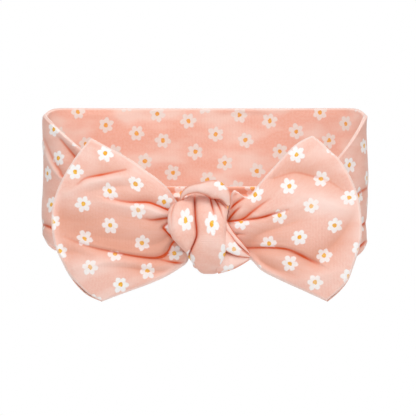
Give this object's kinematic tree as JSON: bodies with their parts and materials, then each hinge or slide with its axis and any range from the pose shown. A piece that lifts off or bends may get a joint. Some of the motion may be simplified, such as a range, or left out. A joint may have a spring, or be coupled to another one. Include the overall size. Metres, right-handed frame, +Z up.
{
  "type": "knotted headband",
  "caption": "Wide double-layer jersey headband, an open loop tied at the front in an overhand knot whose two free ends stand out as broad bow tails.",
  "frame": {"origin": "middle of the head opening, at half the height of the band's back", "axes": "+X towards the wearer's left (the loop's long way), the knot at -Y, the back of the head at +Y, +Z up"},
  "size_m": [0.1704, 0.0941, 0.1007],
  "materials": {
    "jersey_print": "soft peach stretch jersey, matt with a light sheen, printed all over with small white daisies with golden centres",
    "jersey_lining": "the same printed peach jersey, seen on the inside of the loop",
    "seam_thread": "matt polyester sewing thread, peach"
  },
  "bodies": {
    "root": {"knot_core": "jersey_print", "knot_wrap": "jersey_print", "knot_back_strand": "jersey_print", "knot_collar": "jersey_print", "knot_under_strand": "jersey_print", "right_neck_outer_panel": "jersey_print", "right_neck_lining_panel": "jersey_lining", "left_neck_outer_panel": "jersey_print", "left_neck_lining_panel": "jersey_lining", "right_side_outer_panel": "jersey_print", "right_side_lining_panel": "jersey_lining", "left_side_outer_panel": "jersey_print", "left_side_lining_panel": "jersey_lining", "top_seam_thread": "seam_thread", "bottom_seam_thread": "seam_thread"},
    "band_back": {"back_outer_panel": "jersey_print", "back_lining_panel": "jersey_lining"},
    "left_root": {"left_tail_root": "jersey_print"},
    "left_tail": {"left_tail_front_panel": "jersey_print", "left_tail_back_panel": "jersey_print", "left_tail_seam_thread": "seam_thread"},
    "right_root": {"right_tail_root": "jersey_print"},
    "right_tail": {"right_tail_front_panel": "jersey_print", "right_tail_back_panel": "jersey_print", "right_tail_seam_thread": "seam_thread"}
  },
  "joints": [
    {"name": "band_stretch", "type": "slide", "parent": "root", "child": "band_back", "axis": [0, 1, 0], "range_m": [0, 0.04], "stiffness_N_per_m": 60, "deforming": ["right_side_outer_panel", "right_side_lining_panel", "left_side_outer_panel", "left_side_lining_panel", "top_seam_thread", "bottom_seam_thread"]},
    {"name": "left_tail_swing", "type": "hinge", "parent": "root", "child": "left_root", "pos_m": [-0.013, -0.0435, -0.027], "axis": [0, 1, 0], "range_deg": [-12, 12], "stiffness_Nm_per_rad": 0.04},
    {"name": "left_tail_flap", "type": "hinge", "parent": "left_root", "child": "left_tail", "pos_m": [-0.0205, -0.0495, -0.027], "axis": [0, 0, 1], "range_deg": [-6, 60], "stiffness_Nm_per_rad": 0.01},
    {"name": "right_tail_swing", "type": "hinge", "parent": "root", "child": "right_root", "pos_m": [0.0145, -0.0435, -0.0245], "axis": [0, -1, 0], "range_deg": [-12, 12], "stiffness_Nm_per_rad": 0.04},
    {"name": "right_tail_flap", "type": "hinge", "parent": "right_root", "child": "right_tail", "pos_m": [0.0248, -0.0495, -0.0245], "axis": [0, 0, -1], "range_deg": [-6, 60], "stiffness_Nm_per_rad": 0.01}
  ]
}
